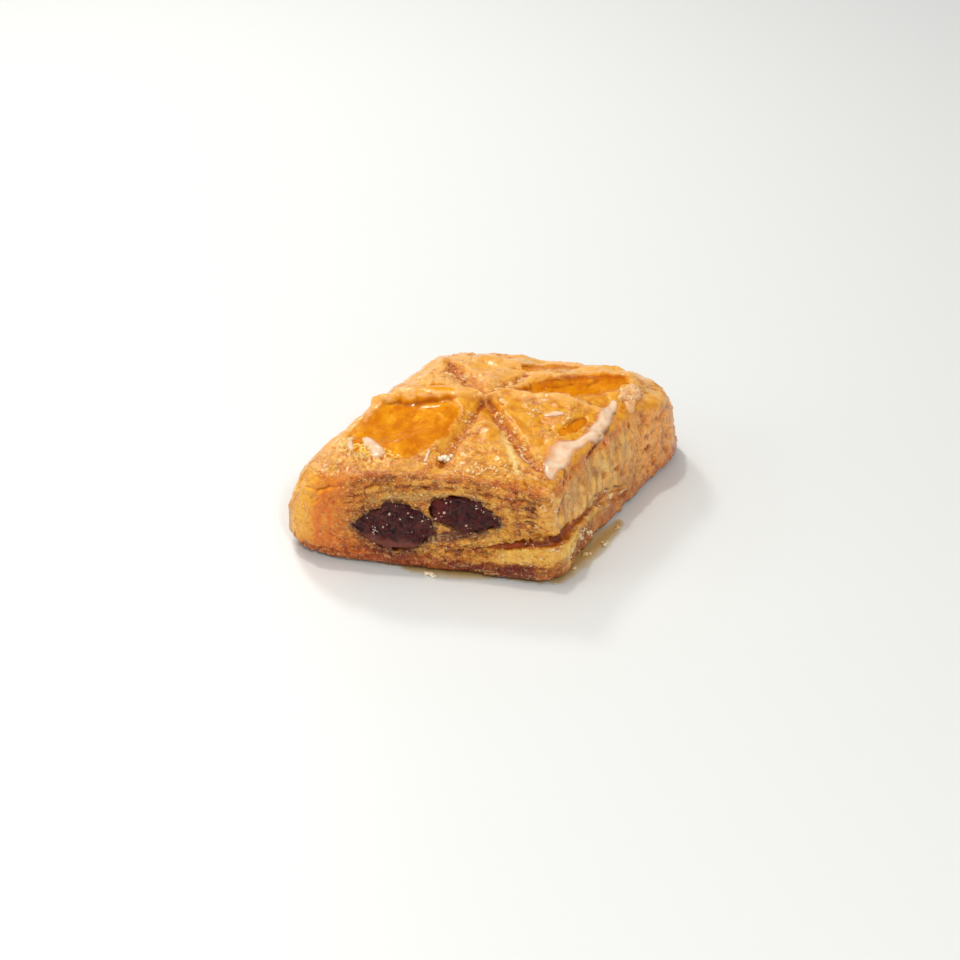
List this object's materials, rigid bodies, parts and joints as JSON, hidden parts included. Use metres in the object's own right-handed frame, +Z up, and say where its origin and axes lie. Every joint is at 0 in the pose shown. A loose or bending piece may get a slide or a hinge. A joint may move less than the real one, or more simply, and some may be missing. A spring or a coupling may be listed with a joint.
{
  "type": "makroud",
  "caption": "Lozenge of semolina pastry with a syrup glaze, a scored top and dark date paste showing in its cut faces.",
  "frame": {"origin": "under the middle of the lozenge's box, on the surface that it lies on", "axes": "+Z up, +X along the front cut face, and the two cut faces look along -Y and +Y"},
  "size_m": [0.0692, 0.0548, 0.0202],
  "materials": {
    "dough": "baked semolina dough soaked in syrup, golden brown and glossy",
    "date_paste": "dark sticky date paste with fine glints",
    "syrup": "clear amber syrup",
    "pale_glaze": "set pale sugar glaze",
    "sugar": "coarse pale sugar and crumbs"
  },
  "bodies": {
    "root": {"dough": "dough", "date_filling_left": "date_paste", "date_filling_right": "date_paste"}
  },
  "joints": []
}
